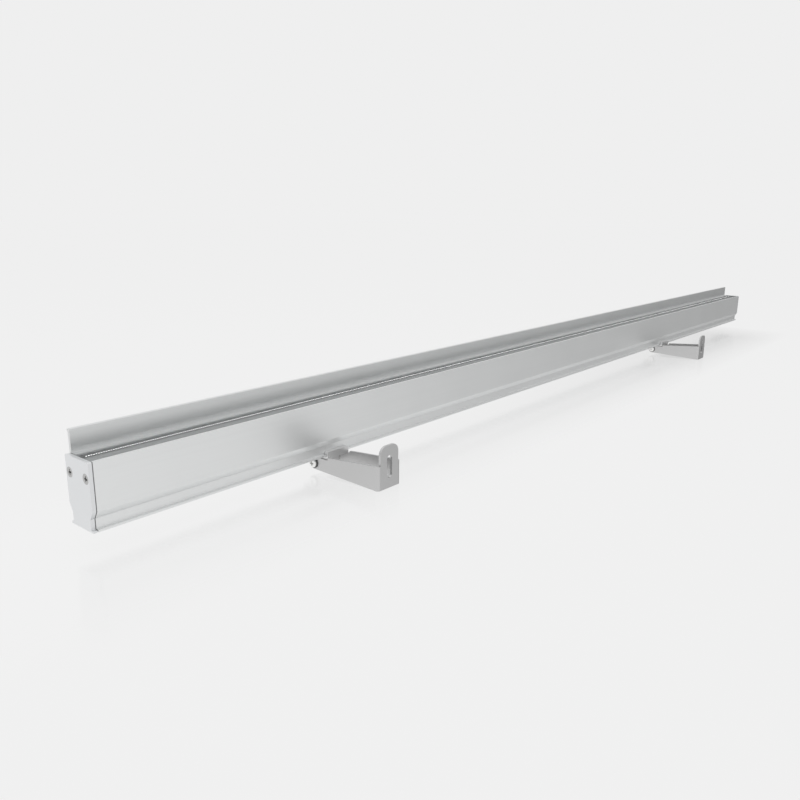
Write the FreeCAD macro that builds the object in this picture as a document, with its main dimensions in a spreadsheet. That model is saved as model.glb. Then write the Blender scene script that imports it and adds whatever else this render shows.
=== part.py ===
import FreeCAD, Part
import os
import re
import Sketcher

# Linear wall washer light: an extruded bar with a visor, held by two sheet metal arms on rail clips.
# Frame: X along the bar, +Y away from the wall, +Z up. The origin is the middle of the near arm's
# wall slot, on the wall plane. Millimetres.

# Driving dimensions: alias, value, meaning. Each becomes a cell of the sheet.
SIZES = [
    # bar
    ("bar_length", 1000, "over the outer faces of the end caps"),
    ("bar_width", 21.5, "upper part of the profile"),
    ("bar_height", 35.3, "from the lips to the top edge"),
    ("wall", 1.5, "side walls of the profile"),
    ("rim_wall", 1.3, "front wall beside the cover"),
    ("waist_width", 16.7, "profile between shoulders and lips"),
    ("lip_width", 20.2, "over the two bottom lips"),
    ("lip_height", 1.15, "thickness of a lip"),
    ("shoulder_low", 6.5, "where the waist ends"),
    ("shoulder_high", 10.5, "where the side walls start"),
    ("channel_width", 13.0, "open channel between the lips"),
    ("channel_depth", 3.2, "depth of that channel"),
    ("floor", 1.5, "web over the channel"),
    ("web", 2.0, "web that carries the LED board"),
    ("web_drop", 4.3, "top edge down to the top of that web"),
    ("ledge_width", 1.3, "ledges under the cover's edges"),
    ("bed_thick", 0.2, "sealant between ledges and cover"),
    ("port_spacing", 15.0, "between the two screw ports"),
    ("port_drop", 8.6, "top edge down to the screw ports"),
    ("port_wall", 1.05, "wall round a screw port"),
    ("port_play", 0.05, "between an end screw and its port"),
    ("port_slit", 1.2, "slit along each screw port"),
    # visor
    ("foot_width", 5.5, "visor foot, fin included"),
    ("foot_thick", 1.4, "visor foot"),
    ("fin_thick", 1.8, "upright fin"),
    ("fin_height", 11.7, "fin above the bar's top edge"),
    ("bead_out", 0.7, "bead along the fin's top, outward"),
    ("bead_height", 1.5, "bead along the fin's top, upward"),
    ("neck_width", 1.6, "groove neck for the visor's tongue"),
    ("neck_depth", 1.2, "groove neck for the visor's tongue"),
    ("head_width", 3.2, "groove head for the visor's tongue"),
    ("head_depth", 1.3, "groove head for the visor's tongue"),
    ("tongue_play", 0.1, "play round the tongue"),
    # light engine
    ("cover_thick", 1.4, "clear cover"),
    ("cover_recess", 1.0, "top edge down to the cover"),
    ("front_joint", 0.3, "joint in front of the cover"),
    ("rear_joint", 0.7, "joint behind the cover"),
    ("joint_recess", 0.4, "sealant below the cover's top face"),
    ("tape_thick", 0.2, "thermal tape"),
    ("board_thick", 1.0, "LED board"),
    ("board_width", 9.0, "LED board"),
    ("board_gap", 0.25, "between the LED board and the ledge below the visor"),
    ("line_width", 2.6, "light emitting line"),
    ("line_thick", 0.4, "light emitting line"),
    ("line_margin", 0.4, "LED board past the line's edge, on the visor's side"),
    ("board_margin", 3.0, "LED board's ends short of the end gaskets"),
    ("lead_hole", 3.2, "side of the square lead hole in the web"),
    # ends
    ("cap_thick", 2.0, "end cap"),
    ("cap_round", 1.0, "radius of the cap's top corners"),
    ("seal_thick", 0.5, "end gasket"),
    ("seal_inset", 0.4, "gasket's edge inside the profile's edge"),
    ("end_screw_radius", 1.4, "end screw shank"),
    ("end_screw_length", 10.0, "end screw, head included"),
    ("end_head_radius", 2.7, "end screw head"),
    ("end_hole_play", 0.2, "round an end screw in cap and gasket"),
    # regulator
    ("tray_length", 230, "insulating tray"),
    ("tray_play", 0.25, "between the tray and the chamber's walls"),
    ("tray_height", 2.4, "insulating tray"),
    ("tray_wall", 0.8, "insulating tray"),
    ("tray_end", 62, "from the far cap's face to the tray"),
    ("tray_margin", 3.0, "tray past each end of the regulator board"),
    ("driver_inset", 0.1, "regulator board's edges inside the tray's"),
    ("driver_thick", 1.6, "regulator board"),
    ("coil_radius", 5.0, "inductor"),
    ("coil_height", 8.0, "inductor"),
    ("film_length", 8.0, "film capacitor"),
    ("film_width", 5.0, "film capacitor"),
    ("film_height", 7.5, "film capacitor"),
    ("chip_length", 6.0, "chip package"),
    ("chip_width", 5.0, "chip package"),
    ("chip_height", 1.6, "chip package"),
    ("fuse_length", 10.0, "fuse block"),
    ("fuse_width", 4.0, "fuse block"),
    ("fuse_height", 4.0, "fuse block"),
    ("terminal_length", 11.0, "supply terminal along the bar"),
    ("terminal_width", 11.0, "supply terminal"),
    ("terminal_height", 9.0, "supply terminal"),
    ("terminal_pitch", 5.0, "between its two ways"),
    ("entry_side", 2.6, "square wire entry"),
    ("entry_rise", 1.0, "board up to a wire entry"),
    ("lever_length", 4.0, "release lever along the bar"),
    ("lever_width", 2.6, "release lever"),
    ("lever_depth", 3.5, "release lever inside the terminal"),
    ("lever_rise", 0.8, "release lever above the terminal"),
    ("lever_play", 0.05, "round a release lever"),
    ("lead_at", 8, "regulator board's near end to the inner leads"),
    ("lead_radius", 0.6, "inner lead over its insulation"),
    ("lead_pitch", 1.5, "between the two inner leads"),
    # cable inlet
    ("inlet_end", 40, "from the far cap's face to the inlet"),
    ("inlet_play", 0.1, "round the gland in the channel's web"),
    ("gland_shank", 4.9, "radius of the gland's shank"),
    ("gland_wall", 1.2, "gland's shank"),
    ("gland_brim", 1.3, "gland's flange past its shank"),
    ("gland_flange_thick", 2.2, "gland's flange"),
    ("gland_seal_bore", 2.6, "radius of the seal's bore"),
    ("gland_nut_wall", 0.8, "lock nut at its flats"),
    ("gland_nut_thick", 2.2, "lock nut"),
    ("gland_tail", 1.0, "gland's shank past the lock nut"),
    # arms
    ("near_station", 162.5, "near cap's face to the near arm's middle"),
    ("arm_spacing", 555, "between the two arms"),
    ("reach", 54.2, "wall plane to pivot axis"),
    ("pivot_drop", 7.25, "slot's middle down to the pivot axis"),
    ("sheet", 1.5, "sheet metal of the arms"),
    ("arm_width", 20.6, "over the arm's side plates"),
    ("bend_radius", 2.0, "outer radius of the arm's bends"),
    ("plate_height", 26.8, "wall plate with its tab"),
    ("side_top", 1.8, "side plate's top at the wall"),
    ("tab_step", 2.2, "tab's edges inside the side plates' faces"),
    ("tab_round", 5.2, "radius of the tab's corners"),
    ("slot_length", 14.2, "wall slot, end to end"),
    ("slot_width", 4.8, "wall slot"),
    ("arm_end_radius", 4.0, "round end of the side plates"),
    ("relief_step", 1.7, "cut-back of the side plates under the hook"),
    ("relief_gap", 0.6, "cut-back's play before the hook"),
    ("relief_run", 1.0, "slope at the end of the cut-back"),
    # clips
    ("clip_width", 18.6, "rail clip along the bar"),
    ("clip_base", 1.2, "rail clip's base"),
    ("clip_wall", 1.2, "rail clip's upright walls"),
    ("hook_thick", 1.7, "hooks over the lips"),
    ("hook_round", 1.5, "radius of the hooks' corners"),
    ("hook_play", 0.12, "play between hooks and rail"),
    ("liner_thick", 0.4, "rubber liner under the lips"),
    ("liner_margin", 0.8, "clip past each end of the liner"),
    ("lug_radius", 3.8, "round end of the pivot lug"),
    ("lug_play", 0.05, "between the pivot lug and each friction washer"),
    ("swing_gap", 0.45, "between the clip and the arm's round end"),
    # pivots
    ("bolt_radius", 1.5, "pivot bolt"),
    ("bolt_play", 0.05, "play round the pivot bolt"),
    ("thread_play", 0.02, "between a thread and its nut"),
    ("bolt_head_radius", 2.9, "pivot bolt's head"),
    ("bolt_head_height", 1.65, "pivot bolt's head"),
    ("bolt_tail", 1.2, "bolt past the nut"),
    ("washer_radius", 3.5, "plain washer"),
    ("washer_thick", 0.5, "plain washer"),
    ("slip_radius", 3.7, "nylon friction washer"),
    ("slip_thick", 0.25, "nylon friction washer"),
    ("nut_across", 5.5, "lock nut over its flats"),
    ("nut_hex", 2.6, "lock nut's hexagon"),
    ("nut_collar", 1.4, "lock nut's collar"),
    ("nut_collar_radius", 2.5, "lock nut's collar"),
    # cuts
    ("overcut", 1.0, "how far a cut's outline lies outside the piece"),
]

# Sizes that follow from the driving ones.
DERIVED = {
    "port_bore": "end_screw_radius + port_play",
    "port_outer": "port_bore + port_wall",
    "end_hole_radius": "end_screw_radius + end_hole_play",
    "body_start": "cap_thick + seal_thick",
    "body_length": "bar_length - 2 * body_start",
    "rail_z": "rail_rise - pivot_drop",
    "seat_z": "bar_height - foot_thick",
    "foot_inner": "bar_width / 2 - foot_width",
    "front_inner": "rim_wall - bar_width / 2",
    "groove_y": "foot_inner + foot_width / 2",
    "web_top": "bar_height - web_drop",
    "web_bottom": "web_top - web",
    "port_z": "bar_height - port_drop",
    "cover_top": "bar_height - cover_recess",
    "cover_bottom": "cover_top - cover_thick",
    "ledge_z": "cover_bottom - bed_thick",
    "well_middle": "(front_inner + foot_inner) / 2",
    "board_far": "foot_inner - ledge_width - board_gap",
    "board_near": "board_far - board_width",
    "line_near": "board_far - line_margin - line_width",
    "board_z": "web_top + tape_thick",
    "line_z": "board_z + board_thick",
    "board_length": "body_length - 2 * board_margin",
    "chamber_floor": "channel_depth + floor",
    "tray_start": "bar_length - tray_end - tray_length",
    "tray_width": "waist_width - 2 * wall - 2 * tray_play",
    "driver_start": "tray_start + tray_margin",
    "driver_length": "tray_length - 2 * tray_margin",
    "driver_width": "tray_width - 2 * driver_inset",
    "driver_z": "chamber_floor + tray_height",
    "parts_z": "driver_z + driver_thick",
    "lead_x": "driver_start + lead_at",
    "terminal_x": "driver_start + driver_length - terminal_length",
    "inlet_x": "bar_length - inlet_end",
    "inlet_hole": "gland_shank + inlet_play",
    "gland_bore": "gland_shank - gland_wall",
    "gland_flange": "gland_shank + gland_brim",
    "gland_nut_across": "2 * (gland_shank + gland_nut_wall)",
    "tab_width": "arm_width - 2 * tab_step",
    "rail_rise": "arm_end_radius + swing_gap + clip_base + liner_thick",
    "lug_width": "arm_width - 2 * (sheet + slip_thick + lug_play)",
    "liner_width": "clip_width - 2 * liner_margin",
    "plate_half": "plate_height / 2",
    "side_flat": "arm_end_radius - pivot_drop",
    "hook_outer": "lip_width / 2 + hook_play + clip_wall",
    "relief_start": "reach - hook_outer - relief_gap",
    "hook_corner": "min(hook_round; 0.85 * hook_thick)",
    "base_top": "-liner_thick",
    "base_bottom": "base_top - clip_base",
}

CLOSE = 0.01
PARALLEL = 0.999

doc = FreeCAD.newDocument("wall_washer")
sheet = doc.addObject("Spreadsheet::Sheet", "Sizes")
nodes = []


def fill_sheet():
    """One row per driving dimension: meaning, value and alias."""
    for row, (alias, value, meaning) in enumerate(SIZES, start=1):
        sheet.set("A%d" % row, meaning)
        sheet.set("B%d" % row, str(value))
        sheet.setAlias("B%d" % row, alias)
    doc.recompute()


def bound(text):
    """The expression with derived names written out and sheet names given their sheet."""
    words = re.compile(r"[a-z_]+")
    aliases = {alias for alias, _, _ in SIZES}

    def expand(match):
        word = match.group(0)
        if word in DERIVED:
            return "(" + bound(DERIVED[word]) + ")"
        return "Sizes." + word if word in aliases else word

    return words.sub(expand, str(text))


def value(text):
    """The expression's present value."""
    return float(sheet.evalExpression(bound(text)))


def node(obj, label, x="0", y="0", z="0"):
    """Registers a finished sub-part under its label, with its place bound to the sheet."""
    obj.Label = label
    for axis, text in zip("xyz", (x, y, z)):
        obj.setExpression("Placement.Base." + axis, bound(text))
    nodes.append(obj)
    return obj


def bar_node(obj, label, x="0"):
    """A sub-part drawn in the bar's own frame: X from the near cap's face, Z from the lips."""
    return node(obj, label, "-near_station + (%s)" % x, "reach", "rail_z")


# --- sketches and features ---


def new_body(name):
    return doc.addObject("PartDesign::Body", name)


def new_sketch(body, name, plane, offset="0"):
    """A sketch on one of the body's own origin planes, moved along its normal."""
    sketch = body.newObject("Sketcher::SketchObject", name)
    support = [face for face in body.Origin.OriginFeatures if face.Role == plane][0]
    sketch.AttachmentSupport = (support, [""])
    sketch.MapMode = "FlatFace"
    sketch.setExpression("AttachmentOffset.Base.z", bound(offset))
    return sketch


def pin_point(sketch, geometry, point, across, up):
    """Holds one point of the sketch at two bound coordinates."""
    for kind, text in (("DistanceX", across), ("DistanceY", up)):
        rule = Sketcher.Constraint(kind, -1, 1, geometry, point, value(text))
        index = sketch.addConstraint(rule)
        sketch.setExpression("Constraints[%d]" % index, bound(text))


def outline(sketch, corners):
    """A closed outline of straight lines through the given corners."""
    first = sketch.GeometryCount
    points = [FreeCAD.Vector(value(across), value(up), 0) for across, up in corners]
    for start, end in zip(points, points[1:] + points[:1]):
        sketch.addGeometry(Part.LineSegment(start, end))
    for index, (across, up) in enumerate(corners):
        after = (index + 1) % len(corners)
        sketch.addConstraint(Sketcher.Constraint("Coincident", first + index, 2, first + after, 1))
        pin_point(sketch, first + index, 1, across, up)
    return sketch


def circle(sketch, across, up, radius):
    """A circle with a bound middle and radius."""
    middle = FreeCAD.Vector(value(across), value(up), 0)
    index = sketch.addGeometry(Part.Circle(middle, FreeCAD.Vector(0, 0, 1), value(radius)))
    pin_point(sketch, index, 3, across, up)
    rule = sketch.addConstraint(Sketcher.Constraint("Radius", index, value(radius)))
    sketch.setExpression("Constraints[%d]" % rule, bound(radius))
    return sketch


def extrude(body, kind, sketch, length, reverse=False):
    """A Pad or Pocket of a bound length along the sketch's normal, or against it."""
    feature = body.newObject("PartDesign::" + kind, kind)
    feature.Profile = sketch
    feature.setExpression("Length", bound(length))
    feature.Reversed = reverse
    return feature


def pad(body, sketch, length, reverse=False):
    return extrude(body, "Pad", sketch, length, reverse)


def pocket(body, sketch, length, reverse=False):
    """A Pocket that must take material away. Reverse False cuts against the sketch's normal."""
    doc.recompute()
    before = body.Shape.Volume
    feature = extrude(body, "Pocket", sketch, length, reverse)
    doc.recompute()
    if body.Shape.Volume >= before:
        raise RuntimeError("a pocket of %s cuts nothing" % body.Name)
    return feature


def dress(body, kind, size_property, size, wanted):
    """A Fillet or Chamfer on the edges of the body's tip that pass the test."""
    doc.recompute()
    base = body.Tip
    edges = ["Edge%d" % (i + 1) for i, edge in enumerate(base.Shape.Edges) if wanted(edge)]
    if not edges:
        raise RuntimeError("no edge of %s to dress" % body.Name)
    feature = body.newObject("PartDesign::" + kind, kind)
    feature.Base = (base, edges)
    feature.setExpression(size_property, bound(size))
    body.Tip = feature
    doc.recompute()
    return feature


def runs_along(edge, axis):
    """True for a straight edge parallel to the axis."""
    if not isinstance(edge.Curve, Part.Line):
        return False
    return abs(getattr(edge.tangentAt(edge.FirstParameter), axis)) > PARALLEL


def lies_at(edge, **wanted):
    """True when the edge's middle has the wanted coordinates."""
    middle = edge.CenterOfMass
    return all(abs(getattr(middle, axis) - value(text)) < CLOSE for axis, text in wanted.items())


# --- simple solids ---


def place(obj, x, y, z, turn=None):
    """Binds an object's place, with an optional fixed turn."""
    if turn is not None:
        obj.Placement = FreeCAD.Placement(FreeCAD.Vector(0, 0, 0), turn)
    for axis, text in zip("xyz", (x, y, z)):
        obj.setExpression("Placement.Base." + axis, bound(text))
    return obj


ALONG_X = FreeCAD.Rotation(FreeCAD.Vector(0, 1, 0), 90)


def box(name, start, sides):
    """A Part::Box with bound corner and sides."""
    solid = doc.addObject("Part::Box", name)
    for prop, text in zip(("Length", "Width", "Height"), sides):
        solid.setExpression(prop, bound(text))
    return place(solid, *start)


def cylinder(name, foot, radius, height, turn=None):
    """A Part::Cylinder with bound foot, radius and height."""
    solid = doc.addObject("Part::Cylinder", name)
    solid.setExpression("Radius", bound(radius))
    solid.setExpression("Height", bound(height))
    return place(solid, *foot, turn=turn)


def cut(name, base, tool):
    result = doc.addObject("Part::Cut", name)
    result.Base = base
    result.Tool = tool
    return result


def fuse(name, base, tool):
    result = doc.addObject("Part::Fuse", name)
    result.Base = base
    result.Tool = tool
    return result


def group(name, solids):
    """Separate like solids that share one node."""
    result = doc.addObject("Part::Compound", name)
    result.Links = solids
    return result


def ring(name, foot, outer, inner, thick, turn=None):
    """A washer: a flat ring with a bound size."""
    disc = cylinder(name + "_disc", foot, outer, thick, turn)
    hole = cylinder(name + "_hole", foot, inner, thick, turn)
    return cut(name, disc, hole)


def hexagon(across):
    """Corners of a hexagon with the given width over its flats."""
    angles = [30 + 60 * step for step in range(6)]
    corner = "(%s) / 2 / cos(30 deg)" % across
    return [("%s * cos(%d deg)" % (corner, a), "%s * sin(%d deg)" % (corner, a)) for a in angles]


# --- the bar ---


def rail_corners(inset="0"):
    """The lower outline that housing, caps and gaskets share, from the front wall round to the back."""
    lip = "lip_width / 2 - (%s)" % inset
    waist = "waist_width / 2 - (%s)" % inset
    side = "bar_width / 2 - (%s)" % inset
    low = "(%s)" % inset
    half = [
        (lip, low),
        (lip, "lip_height - (%s)" % inset),
        (waist, "lip_height - (%s)" % inset),
        (waist, "shoulder_low + (%s) / 2" % inset),
        (side, "shoulder_high + (%s) / 2" % inset),
    ]
    front = [("-(%s)" % across, up) for across, up in reversed(half)]
    return front, half


def tongue_corners(play="0"):
    """The T shape that joins the visor to the housing, from its rear side to its front side."""
    neck = "neck_width / 2 - (%s)" % play
    head = "head_width / 2 - (%s)" % play
    shoulder = "seat_z - neck_depth - (%s)" % play
    bottom = "seat_z - neck_depth - head_depth + (%s)" % play
    rear = [(neck, "seat_z"), (neck, shoulder), (head, shoulder), (head, bottom)]
    corners = [("groove_y + " + across, up) for across, up in rear]
    corners += [("groove_y - (%s)" % across, up) for across, up in reversed(rear)]
    return corners


def housing():
    """The extruded profile: rail, chamber, screw ports, LED web, cover ledges and visor groove."""
    body = new_body("housing")
    front, back = rail_corners()
    channel = [
        ("-channel_width / 2", "0"),
        ("-channel_width / 2", "channel_depth"),
        ("channel_width / 2", "channel_depth"),
        ("channel_width / 2", "0"),
    ]
    well = [
        ("foot_inner", "seat_z"),
        ("foot_inner", "ledge_z"),
        ("foot_inner - ledge_width", "ledge_z"),
        ("foot_inner - ledge_width", "web_top"),
        ("front_inner + ledge_width", "web_top"),
        ("front_inner + ledge_width", "ledge_z"),
        ("front_inner", "ledge_z"),
        ("front_inner", "bar_height"),
        ("-bar_width / 2", "bar_height"),
    ]
    corners = front + channel + back + [("bar_width / 2", "seat_z")] + tongue_corners() + well
    profile = outline(new_sketch(body, "profile", "YZ_Plane"), corners)
    pad(body, profile, "body_length")

    inner_waist = "waist_width / 2 - wall"
    inner_side = "bar_width / 2 - wall"
    half = [
        (inner_waist, "chamber_floor"),
        (inner_waist, "shoulder_low + wall / 2"),
        (inner_side, "shoulder_high + wall / 2"),
        (inner_side, "web_bottom"),
    ]
    chamber = half + [("-(%s)" % across, up) for across, up in reversed(half)]
    pocket(body, outline(new_sketch(body, "chamber", "YZ_Plane"), chamber), "body_length", True)

    bosses = new_sketch(body, "ports", "YZ_Plane")
    bores = new_sketch(body, "port_bores", "YZ_Plane")
    slits = new_sketch(body, "port_slits", "YZ_Plane")
    for side in ("", "-"):
        circle(bosses, side + "port_spacing / 2", "port_z", "port_outer")
        circle(bores, side + "port_spacing / 2", "port_z", "port_bore")
        opening = [
            (side + "(port_spacing / 2 - port_outer - overcut)", "port_z - port_slit / 2"),
            (side + "port_spacing / 2", "port_z - port_slit / 2"),
            (side + "port_spacing / 2", "port_z + port_slit / 2"),
            (side + "(port_spacing / 2 - port_outer - overcut)", "port_z + port_slit / 2"),
        ]
        outline(slits, opening)
    pad(body, bosses, "body_length")
    pocket(body, bores, "body_length", True)
    pocket(body, slits, "body_length", True)

    inlet = circle(new_sketch(body, "inlet", "XY_Plane"), "inlet_x - body_start", "0", "inlet_hole")
    pocket(body, inlet, "chamber_floor", True)
    leads = outline(new_sketch(body, "lead_hole", "XY_Plane", "web_bottom"), lead_hole_corners("body_start"))
    pocket(body, leads, "web", True)
    bar_node(body, "housing", "body_start")


def lead_hole_corners(start):
    """The square lead hole, seen from above, with X counted from the given start."""
    low_x = "lead_x - lead_hole / 2 - " + start
    low_y = "well_middle - lead_hole / 2"
    high_x, high_y = low_x + " + lead_hole", low_y + " + lead_hole"
    return [(low_x, low_y), (high_x, low_y), (high_x, high_y), (low_x, high_y)]


def visor():
    """The upright glare fin with its foot and the tongue that slides into the housing."""
    body = new_body("visor")
    top = "bar_height + fin_height"
    corners = [
        ("bar_width / 2", "seat_z"),
        ("bar_width / 2", top + " - bead_height"),
        ("bar_width / 2 + bead_out", top + " - bead_height + bead_out"),
        ("bar_width / 2 + bead_out", top),
        ("bar_width / 2 - fin_thick", top),
        ("bar_width / 2 - fin_thick", "bar_height"),
        ("foot_inner", "bar_height"),
        ("foot_inner", "seat_z"),
    ]
    corners += reversed(tongue_corners("tongue_play"))
    profile = outline(new_sketch(body, "profile", "YZ_Plane"), corners)
    pad(body, profile, "body_length")
    bar_node(body, "visor", "body_start")


def cover():
    """The clear cover on its two ledges."""
    start = ("body_start", "front_inner + front_joint", "cover_bottom")
    sides = ("body_length", "foot_inner - rear_joint - front_inner - front_joint", "cover_thick")
    pane = group("cover_group", [box("cover_pane", start, sides)])
    bar_node(pane, "cover")


def cover_sealant():
    """Two beads of sealant: a bed on each ledge that turns up beside the cover."""
    beads = []
    edges = (("front", "front_inner", "front_joint", 1), ("rear", "foot_inner", "rear_joint", -1))
    for name, start, joint, way in edges:
        body = new_body("bead_" + name)
        sign = "+" if way > 0 else "-"
        corners = [
            (start, "ledge_z"),
            ("%s %s ledge_width" % (start, sign), "ledge_z"),
            ("%s %s ledge_width" % (start, sign), "cover_bottom"),
            ("%s %s %s" % (start, sign, joint), "cover_bottom"),
            ("%s %s %s" % (start, sign, joint), "cover_top - joint_recess"),
            (start, "cover_top - joint_recess"),
        ]
        pad(body, outline(new_sketch(body, "bead", "YZ_Plane"), corners), "body_length")
        beads.append(body)
    bar_node(group("beads", beads), "cover_sealant", "body_start")


def light_engine():
    """Thermal tape, LED board and light emitting line, stacked on the housing's web."""
    x_start = "body_start + board_margin"
    body = new_body("tape")
    low, high = "board_near", "board_far"
    strip = [("0", low), ("board_length", low), ("board_length", high), ("0", high)]
    tape = new_sketch(body, "strip", "XY_Plane")
    outline(tape, strip)
    outline(tape, lead_hole_corners("(%s)" % x_start))
    pad(body, tape, "tape_thick")
    node(body, "thermal_tape", "%s - near_station" % x_start, "reach", "rail_z + web_top")
    start = (x_start, "board_near", "board_z")
    board = box("board_strip", start, ("board_length", "board_width", "board_thick"))
    bar_node(group("board", [board]), "led_board")
    start = (x_start, "line_near", "line_z")
    line = box("light_line", start, ("board_length", "line_width", "line_thick"))
    bar_node(group("line", [line]), "led_line")


# --- the ends ---


def end_outline(inset):
    """The closed outline of a cap or gasket."""
    front, back = rail_corners(inset)
    side = "bar_width / 2 - (%s)" % inset
    top = "bar_height - (%s)" % inset
    return front + back + [(side, top), ("-(%s)" % side, top)]


def end_holes(body, depth):
    """The two clearance holes for the end screws."""
    holes = new_sketch(body, "holes", "YZ_Plane")
    for side in ("", "-"):
        circle(holes, side + "port_spacing / 2", "port_z", "end_hole_radius")
    pocket(body, holes, depth, True)


def end_cap(name, start, outer_x):
    """A flat cap with the bar's outline and two countersunk holes."""
    body = new_body(name)
    pad(body, outline(new_sketch(body, "outline", "YZ_Plane"), end_outline("0")), "cap_thick")
    end_holes(body, "cap_thick")
    rims = "end_head_radius - end_hole_radius"
    dress(body, "Chamfer", "Size", rims, lambda edge: is_rim(edge, outer_x))
    dress(body, "Fillet", "Radius", "cap_round", is_top_corner)
    bar_node(body, name, start)


def is_rim(edge, outer_x):
    """True for the rim of a screw hole on the cap's outer face."""
    return isinstance(edge.Curve, Part.Circle) and lies_at(edge, x=outer_x)


def is_top_corner(edge):
    """True for the two upper edges that run through a cap."""
    return runs_along(edge, "x") and lies_at(edge, z="bar_height")


def end_gaskets():
    """The two thin gaskets between caps and profile."""
    gaskets = []
    for side, start in (("near", "cap_thick"), ("far", "bar_length - body_start")):
        body = new_body("gasket_" + side)
        outer = outline(new_sketch(body, "outline", "YZ_Plane"), end_outline("seal_inset"))
        pad(body, outer, "seal_thick")
        end_holes(body, "seal_thick")
        gaskets.append(place(body, start, "0", "0"))
    bar_node(group("gaskets", gaskets), "end_gaskets")


def end_screws():
    """The four countersunk screws of the caps, heads flush with the caps' faces."""
    screws = []
    for side, outer_x, inward in (("near", "0", ""), ("far", "bar_length", "-")):
        for row, across in (("rear", ""), ("front", "-")):
            body = new_body("screw_%s_%s" % (side, row))
            corners = [
                ("0", "0"),
                ("0", "end_head_radius"),
                (inward + "(end_head_radius - end_screw_radius)", "end_screw_radius"),
                (inward + "end_screw_length", "end_screw_radius"),
                (inward + "end_screw_length", "0"),
            ]
            spin(body, outline(new_sketch(body, "half", "XY_Plane"), corners))
            screws.append(place(body, outer_x, across + "port_spacing / 2", "port_z"))
    bar_node(group("screws", screws), "end_screws")


def spin(body, sketch):
    """Turns a half outline once round the sketch's own X axis."""
    feature = body.newObject("PartDesign::Revolution", "Revolution")
    feature.Profile = sketch
    feature.ReferenceAxis = (sketch, ["H_Axis"])
    feature.Angle = 360
    return feature


def ends():
    end_cap("end_cap_near", "0", "0")
    end_cap("end_cap_far", "bar_length - cap_thick", "cap_thick")
    end_gaskets()
    end_screws()


# --- the regulator in the chamber ---


def driver_tray():
    """The insulating channel that lies on the chamber's floor."""
    body = new_body("tray")
    outer = "tray_width / 2"
    inner = "(tray_width / 2 - tray_wall)"
    corners = [
        ("-" + outer, "chamber_floor"),
        (outer, "chamber_floor"),
        (outer, "driver_z"),
        (inner, "driver_z"),
        (inner, "chamber_floor + tray_wall"),
        ("-" + inner, "chamber_floor + tray_wall"),
        ("-" + inner, "driver_z"),
        ("-" + outer, "driver_z"),
    ]
    pad(body, outline(new_sketch(body, "channel", "YZ_Plane"), corners), "tray_length")
    bar_node(body, "driver_tray", "tray_start")


def driver_board():
    start = ("driver_start", "-driver_width / 2", "driver_z")
    board = box("regulator_board", start, ("driver_length", "driver_width", "driver_thick"))
    bar_node(group("regulator", [board]), "driver_board")


def driver_parts():
    """Chips, inductor, capacitors and fuse, spread evenly over the board between leads and terminal."""
    row = ["chip", "coil", "chip", "film", "film", "chip", "fuse"]
    lengths = {kind: kind + "_length" for kind in ("chip", "film", "fuse")}
    lengths["coil"] = "2 * coil_radius"
    filled = " + ".join(lengths[kind] for kind in row)
    gap = "(terminal_x - lead_x - (%s)) / %d" % (filled, len(row) + 1)
    built = {kind: [] for kind in lengths}
    start = "lead_x"
    for index, kind in enumerate(row):
        start = "%s + %s" % (start, gap)
        built[kind].append(driver_piece(kind, "%s_%d" % (kind, index), start))
        start = "%s + %s" % (start, lengths[kind])
    bar_node(group("coil_group", built["coil"]), "driver_inductor")
    bar_node(group("films", built["film"]), "driver_capacitors")
    bar_node(group("chips", built["chip"]), "driver_chips")
    bar_node(group("fuse_group", built["fuse"]), "driver_fuse")


def driver_piece(kind, name, start):
    """One component, from its near edge: the round inductor or a block."""
    if kind == "coil":
        return cylinder(name, (start + " + coil_radius", "0", "parts_z"), "coil_radius", "coil_height")
    corner = (start, "-%s_width / 2" % kind, "parts_z")
    return box(name, corner, (kind + "_length", kind + "_width", kind + "_height"))


def supply_terminal():
    """The two-way spring terminal at the board's far end, with its release levers."""
    start = ("terminal_x", "-terminal_width / 2", "parts_z")
    shell = box("terminal_shell", start, ("terminal_length", "terminal_width", "terminal_height"))
    levers = []
    x_way = "terminal_x + terminal_length / 2"
    lever_z = "parts_z + terminal_height - lever_depth"
    for way in ("-", ""):
        y_way = way + "terminal_pitch / 2"
        entry_start = (x_way, y_way + " - entry_side / 2", "parts_z + entry_rise")
        entry = box("entry" + way, entry_start, ("terminal_length", "entry_side", "entry_side"))
        shell = cut("terminal_entry" + way, shell, entry)
        well_start = (x_way + " - lever_length / 2", y_way + " - lever_width / 2", lever_z)
        well = box("lever_well" + way, well_start, ("lever_length", "lever_width", "lever_depth"))
        shell = cut("terminal_well" + way, shell, well)
        lever_start = tuple("%s + lever_play" % text for text in well_start[:2]) + (lever_z,)
        length, width = ("lever_%s - 2 * lever_play" % side for side in ("length", "width"))
        levers.append(box("lever" + way, lever_start, (length, width, "lever_depth + lever_rise")))
    bar_node(shell, "supply_terminal")
    bar_node(group("levers", levers), "terminal_levers")


def led_leads():
    """Two leads from the regulator straight up through the web to the LED board."""
    leads = []
    for way in ("-", "+"):
        foot = ("lead_x", "well_middle %s lead_pitch / 2" % way, "parts_z")
        leads.append(cylinder("lead_" + way, foot, "lead_radius", "board_z - parts_z"))
    bar_node(group("leads", leads), "led_leads")


# --- the cable inlet ---


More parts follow.
